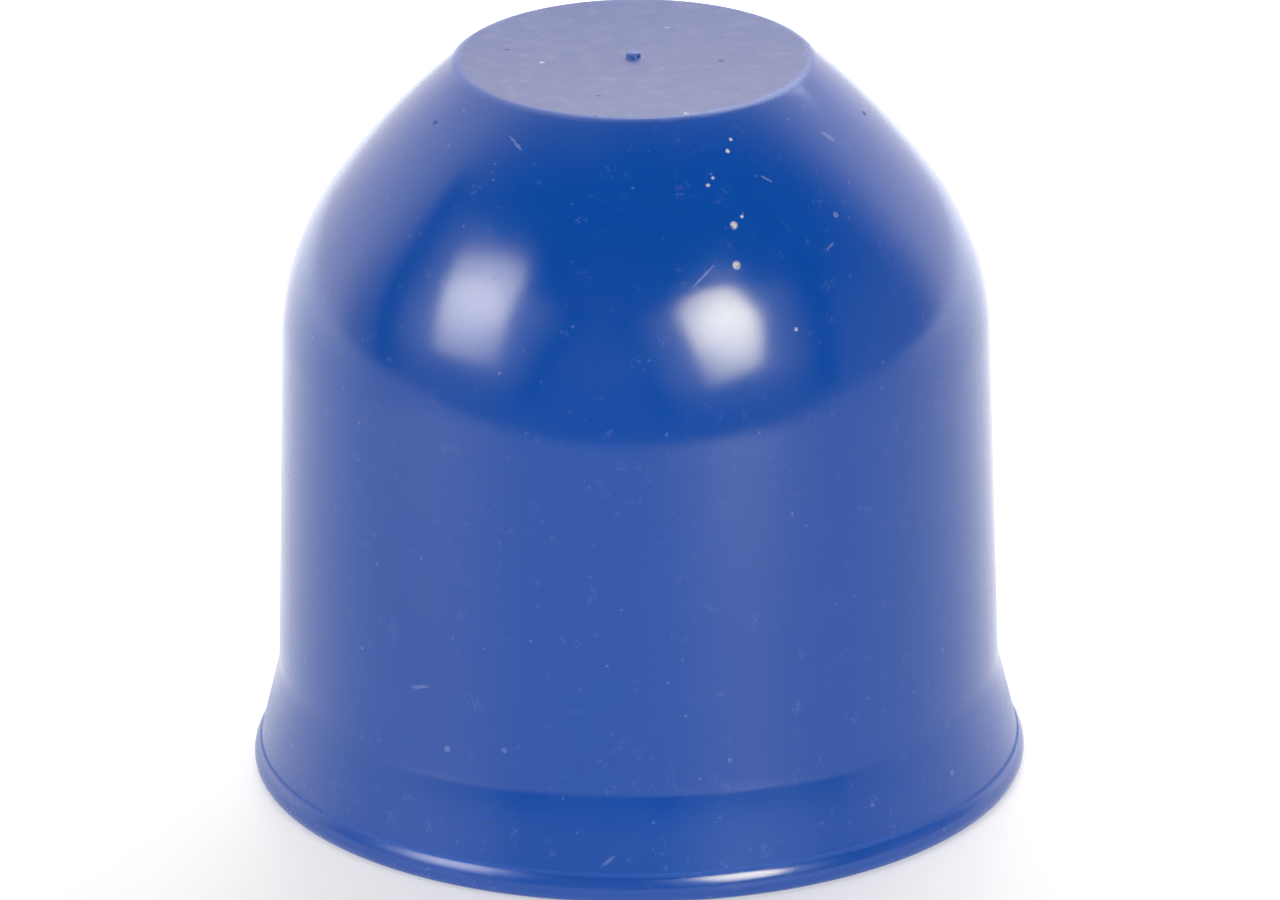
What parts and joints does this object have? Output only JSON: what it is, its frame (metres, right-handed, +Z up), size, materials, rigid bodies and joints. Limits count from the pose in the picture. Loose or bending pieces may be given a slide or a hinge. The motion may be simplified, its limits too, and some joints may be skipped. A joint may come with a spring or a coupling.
{
  "type": "tow ball cover",
  "caption": "Blue moulded plastic cap with a domed body, flat top, flared skirt and rounded lip; drops over a trailer coupling ball to keep its grease in and dirt off.",
  "frame": {"origin": "on the cap's axis, in the plane of the flat underside of its rim", "axes": "+Z up along the cap's axis, from the open mouth to the flat top; the cap is round, so +X and +Y are free, and the picture looks along +Y"},
  "size_m": [0.0934, 0.0934, 0.0905],
  "materials": {
    "blue_plastic": "glossy moulded polyolefin, lightly scuffed"
  },
  "bodies": {
    "root": {"cap": "blue_plastic"}
  },
  "joints": []
}
